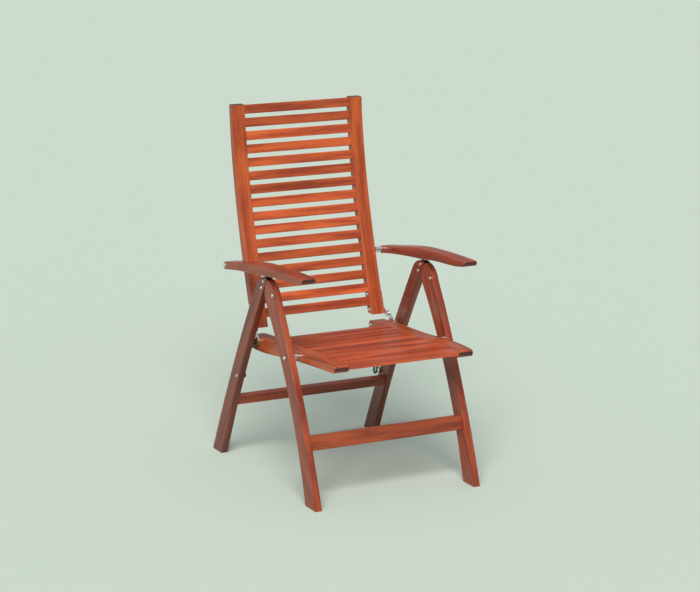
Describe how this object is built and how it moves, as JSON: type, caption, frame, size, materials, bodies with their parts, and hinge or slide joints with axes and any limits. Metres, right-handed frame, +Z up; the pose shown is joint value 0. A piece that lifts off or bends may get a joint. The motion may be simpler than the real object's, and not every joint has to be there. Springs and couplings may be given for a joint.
{
  "type": "folding chair",
  "caption": "High-backed wooden folding armchair with scissor legs, slatted seat, curved slatted reclining back and lift-off arms that hook on latch pins.",
  "frame": {"origin": "on the floor, midway between the sides and midway between the front of the seat and the rear of the back", "axes": "+X to the right across the chair, +Y towards the back, +Z up"},
  "size_m": [0.6174, 0.7342, 1.109],
  "materials": {
    "leg_wood": "satin lacquered, red-brown stain",
    "seat_wood": "satin lacquered, red-brown stain",
    "back_wood": "satin lacquered, red-brown stain",
    "arm_wood": "satin lacquered, red-brown stain",
    "zinc_steel": "bright zinc plated",
    "brass_ring": "polished",
    "black_spacer": "matte"
  },
  "bodies": {
    "rear_leg_frame": {"left_rear_leg": "leg_wood", "right_rear_leg": "leg_wood", "rear_stretcher": "leg_wood", "apex_plates": "zinc_steel", "leg_pivot_bolts": "zinc_steel", "plate_bolts": "zinc_steel", "latch_pins": "zinc_steel", "seat_guides": "zinc_steel", "guide_fasteners": "zinc_steel"},
    "front_leg_frame": {"left_front_leg": "leg_wood", "right_front_leg": "leg_wood", "front_stretcher": "leg_wood", "seat_pivot_bolts": "zinc_steel"},
    "seat": {"left_seat_rail": "seat_wood", "right_seat_rail": "seat_wood", "seat_slat_1": "seat_wood", "seat_slat_2": "seat_wood", "seat_slat_3": "seat_wood", "seat_slat_4": "seat_wood", "seat_slat_5": "seat_wood", "seat_slat_6": "seat_wood", "seat_slat_7": "seat_wood", "seat_slat_8": "seat_wood", "seat_wide_slat": "seat_wood", "seat_front_board": "seat_wood", "seat_guide_pins": "zinc_steel"},
    "left_back_hinge": {"left_hinge_pin": "zinc_steel", "left_hinge_ring": "brass_ring", "left_hinge_spacer": "black_spacer"},
    "right_back_hinge": {"right_hinge_pin": "zinc_steel", "right_hinge_ring": "brass_ring", "right_hinge_spacer": "black_spacer"},
    "back": {"left_back_stile": "back_wood", "right_back_stile": "back_wood", "back_slat_01": "back_wood", "back_slat_02": "back_wood", "back_slat_03": "back_wood", "back_slat_04": "back_wood", "back_slat_05": "back_wood", "back_slat_06": "back_wood", "back_slat_07": "back_wood", "back_slat_08": "back_wood", "back_slat_09": "back_wood", "back_slat_10": "back_wood", "back_slat_11": "back_wood", "back_slat_12": "back_wood", "back_slat_13": "back_wood", "back_slat_14": "back_wood", "back_slat_15": "back_wood", "back_slat_16": "back_wood", "back_straps": "zinc_steel", "strap_bolts": "zinc_steel"},
    "left_arm_pivot_bolt": {"left_arm_bolt": "zinc_steel"},
    "right_arm_pivot_bolt": {"right_arm_bolt": "zinc_steel"},
    "left_arm_pivot_bush": {"left_arm_bush": "zinc_steel"},
    "right_arm_pivot_bush": {"right_arm_bush": "zinc_steel"},
    "left_arm": {"left_armrest": "arm_wood", "left_arm_rack": "zinc_steel"},
    "right_arm": {"right_armrest": "arm_wood", "right_arm_rack": "zinc_steel"}
  },
  "joints": [
    {"name": "leg_fold", "type": "hinge", "parent": "rear_leg_frame", "child": "front_leg_frame", "pos_m": [0, -0.062, 0.597], "axis": [1, 0, 0], "range_deg": [0, 50.5]},
    {"name": "seat_turn", "type": "hinge", "parent": "front_leg_frame", "child": "seat", "pos_m": [0, -0.146, 0.422], "axis": [-1, 0, 0], "range_deg": [0, 88]},
    {"name": "left_hinge_turn", "type": "hinge", "parent": "seat", "child": "left_back_hinge", "pos_m": [-0.2435, 0.112, 0.405], "axis": [1, 0, 0], "range_deg": [0, 74.2]},
    {"name": "right_hinge_turn", "type": "hinge", "parent": "seat", "child": "right_back_hinge", "pos_m": [0.2435, 0.112, 0.405], "axis": [1, 0, 0], "range_deg": [0, 74.2]},
    {"name": "back_recline", "type": "hinge", "parent": "left_back_hinge", "child": "back", "pos_m": [0, 0.112, 0.405], "axis": [-1, 0, 0], "range_deg": [0, 18]},
    {"name": "left_arm_bolt_turn", "type": "hinge", "parent": "back", "child": "left_arm_pivot_bolt", "pos_m": [-0.2815, 0.229, 0.628], "axis": [-1, 0, 0], "range_deg": [0, 94]},
    {"name": "left_arm_bush_turn", "type": "hinge", "parent": "left_arm_pivot_bolt", "child": "left_arm_pivot_bush", "pos_m": [-0.2815, 0.229, 0.628], "axis": [1, 0, 0], "range_deg": [0, 11]},
    {"name": "left_arm_lift", "type": "hinge", "parent": "left_arm_pivot_bush", "child": "left_arm", "pos_m": [-0.2815, 0.229, 0.628], "axis": [-1, 0, 0], "range_deg": [0, 60]},
    {"name": "right_arm_bolt_turn", "type": "hinge", "parent": "back", "child": "right_arm_pivot_bolt", "pos_m": [0.2815, 0.229, 0.628], "axis": [-1, 0, 0], "range_deg": [0, 94]},
    {"name": "right_arm_bush_turn", "type": "hinge", "parent": "right_arm_pivot_bolt", "child": "right_arm_pivot_bush", "pos_m": [0.2815, 0.229, 0.628], "axis": [1, 0, 0], "range_deg": [0, 11]},
    {"name": "right_arm_lift", "type": "hinge", "parent": "right_arm_pivot_bush", "child": "right_arm", "pos_m": [0.2815, 0.229, 0.628], "axis": [-1, 0, 0], "range_deg": [0, 60]}
  ],
  "couplings": [
    {"joint": "seat_turn", "follows": "leg_fold", "ratio": 1.732},
    {"joint": "left_hinge_turn", "follows": "leg_fold", "ratio": 1.459},
    {"joint": "right_hinge_turn", "follows": "leg_fold", "ratio": 1.459},
    {"joint": "left_arm_bolt_turn", "follows": "leg_fold", "ratio": 1.85},
    {"joint": "left_arm_bush_turn", "follows": "back_recline", "ratio": 0.583},
    {"joint": "right_arm_bolt_turn", "follows": "leg_fold", "ratio": 1.85},
    {"joint": "right_arm_bush_turn", "follows": "back_recline", "ratio": 0.583}
  ]
}
